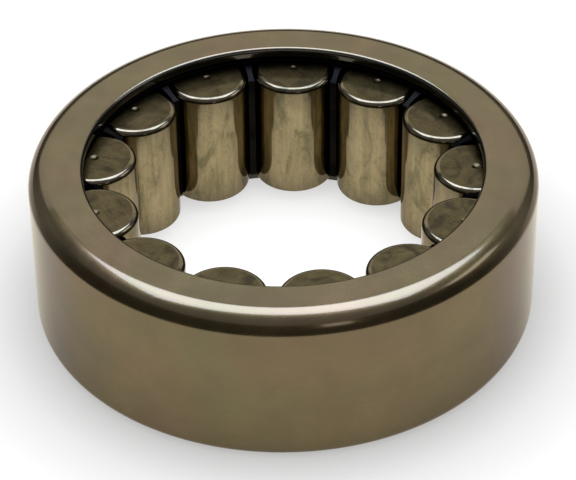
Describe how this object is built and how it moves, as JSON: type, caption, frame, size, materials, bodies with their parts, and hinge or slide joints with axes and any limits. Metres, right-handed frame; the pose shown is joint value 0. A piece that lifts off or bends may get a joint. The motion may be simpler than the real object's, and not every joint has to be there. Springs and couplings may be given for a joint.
{
  "type": "roller bearing",
  "caption": "Lipped radial roller bearing with no inner ring: a thick steel outer ring, short cylindrical rollers that run on the shaft, and a thin black cage.",
  "frame": {"origin": "centre of the outer ring, half-way between its two end faces, on the bearing's axis", "axes": "+Z along the bearing's axis, out of the end face with the larger outside corner radius; +Y through the middle of roller_01"},
  "size_m": [0.0572, 0.0572, 0.019],
  "materials": {
    "ring_steel": "satin ground, warm brown tint from an oil film",
    "roller_steel": "polished, with faint stains and streaks",
    "cage_steel": "pressed sheet steel, blackened, slightly oily"
  },
  "bodies": {
    "outer_ring": {"outer_ring": "ring_steel"},
    "cage": {"cage": "cage_steel"},
    "roller_01": {"roller_01": "roller_steel"},
    "roller_02": {"roller_02": "roller_steel"},
    "roller_03": {"roller_03": "roller_steel"},
    "roller_04": {"roller_04": "roller_steel"},
    "roller_05": {"roller_05": "roller_steel"},
    "roller_06": {"roller_06": "roller_steel"},
    "roller_07": {"roller_07": "roller_steel"},
    "roller_08": {"roller_08": "roller_steel"},
    "roller_09": {"roller_09": "roller_steel"},
    "roller_10": {"roller_10": "roller_steel"},
    "roller_11": {"roller_11": "roller_steel"},
    "roller_12": {"roller_12": "roller_steel"},
    "roller_13": {"roller_13": "roller_steel"}
  },
  "joints": [
    {"name": "cage_turn", "type": "hinge", "parent": "outer_ring", "child": "cage", "pos_m": [0, 0, -0.00017], "axis": [0, 0, 1], "continuous": true},
    {"name": "roller_01_spin", "type": "hinge", "parent": "cage", "child": "roller_01", "pos_m": [0, 0.02176, -0.00028], "axis": [0, 0, 1], "continuous": true},
    {"name": "roller_02_spin", "type": "hinge", "parent": "cage", "child": "roller_02", "pos_m": [0.01011, 0.01927, -0.00028], "axis": [0, 0, 1], "continuous": true},
    {"name": "roller_03_spin", "type": "hinge", "parent": "cage", "child": "roller_03", "pos_m": [0.01791, 0.01236, -0.00028], "axis": [0, 0, 1], "continuous": true},
    {"name": "roller_04_spin", "type": "hinge", "parent": "cage", "child": "roller_04", "pos_m": [0.0216, 0.00262, -0.00028], "axis": [0, 0, 1], "continuous": true},
    {"name": "roller_05_spin", "type": "hinge", "parent": "cage", "child": "roller_05", "pos_m": [0.02035, -0.00772, -0.00028], "axis": [0, 0, 1], "continuous": true},
    {"name": "roller_06_spin", "type": "hinge", "parent": "cage", "child": "roller_06", "pos_m": [0.01443, -0.01629, -0.00028], "axis": [0, 0, 1], "continuous": true},
    {"name": "roller_07_spin", "type": "hinge", "parent": "cage", "child": "roller_07", "pos_m": [0.00521, -0.02113, -0.00028], "axis": [0, 0, 1], "continuous": true},
    {"name": "roller_08_spin", "type": "hinge", "parent": "cage", "child": "roller_08", "pos_m": [-0.00521, -0.02113, -0.00028], "axis": [0, 0, 1], "continuous": true},
    {"name": "roller_09_spin", "type": "hinge", "parent": "cage", "child": "roller_09", "pos_m": [-0.01443, -0.01629, -0.00028], "axis": [0, 0, 1], "continuous": true},
    {"name": "roller_10_spin", "type": "hinge", "parent": "cage", "child": "roller_10", "pos_m": [-0.02035, -0.00772, -0.00028], "axis": [0, 0, 1], "continuous": true},
    {"name": "roller_11_spin", "type": "hinge", "parent": "cage", "child": "roller_11", "pos_m": [-0.0216, 0.00262, -0.00028], "axis": [0, 0, 1], "continuous": true},
    {"name": "roller_12_spin", "type": "hinge", "parent": "cage", "child": "roller_12", "pos_m": [-0.01791, 0.01236, -0.00028], "axis": [0, 0, 1], "continuous": true},
    {"name": "roller_13_spin", "type": "hinge", "parent": "cage", "child": "roller_13", "pos_m": [-0.01011, 0.01927, -0.00028], "axis": [0, 0, 1], "continuous": true}
  ],
  "couplings": [
    {"joint": "roller_01_spin", "follows": "cage_turn", "ratio": -5.5696},
    {"joint": "roller_02_spin", "follows": "cage_turn", "ratio": -5.5696},
    {"joint": "roller_03_spin", "follows": "cage_turn", "ratio": -5.5696},
    {"joint": "roller_04_spin", "follows": "cage_turn", "ratio": -5.5696},
    {"joint": "roller_05_spin", "follows": "cage_turn", "ratio": -5.5696},
    {"joint": "roller_06_spin", "follows": "cage_turn", "ratio": -5.5696},
    {"joint": "roller_07_spin", "follows": "cage_turn", "ratio": -5.5696},
    {"joint": "roller_08_spin", "follows": "cage_turn", "ratio": -5.5696},
    {"joint": "roller_09_spin", "follows": "cage_turn", "ratio": -5.5696},
    {"joint": "roller_10_spin", "follows": "cage_turn", "ratio": -5.5696},
    {"joint": "roller_11_spin", "follows": "cage_turn", "ratio": -5.5696},
    {"joint": "roller_12_spin", "follows": "cage_turn", "ratio": -5.5696},
    {"joint": "roller_13_spin", "follows": "cage_turn", "ratio": -5.5696}
  ]
}
